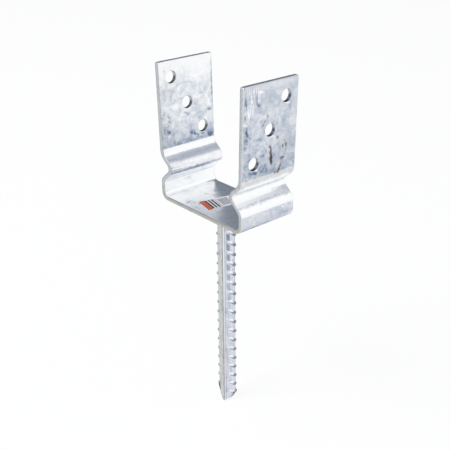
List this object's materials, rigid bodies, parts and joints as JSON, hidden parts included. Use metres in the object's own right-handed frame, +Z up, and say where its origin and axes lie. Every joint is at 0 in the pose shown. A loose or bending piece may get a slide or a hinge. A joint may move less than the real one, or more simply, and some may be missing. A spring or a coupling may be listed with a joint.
{
  "type": "timber post base",
  "caption": "Galvanised U-shaped timber post base folded from flat strip, with inward ridges that hold the post clear of the base plate and a ribbed anchor bar welded underneath.",
  "frame": {"origin": "middle of the base plate's underside, on the anchor bar's axis", "axes": "+Z up towards the timber, X from leg to leg, Y along the strip's width"},
  "size_m": [0.1134, 0.06, 0.334],
  "materials": {
    "galvanised_strip": "hot-dip galvanised, cloudy",
    "galvanised_bar": "hot-dip galvanised over rolled ribs",
    "weld_metal": "galvanised weld, rippled",
    "sticker_paper": "coated paper with plain fields of colour"
  },
  "bodies": {
    "root": {"saddle": "galvanised_strip", "anchor_bar": "galvanised_bar", "weld_bead": "weld_metal", "sticker": "sticker_paper"}
  },
  "joints": []
}
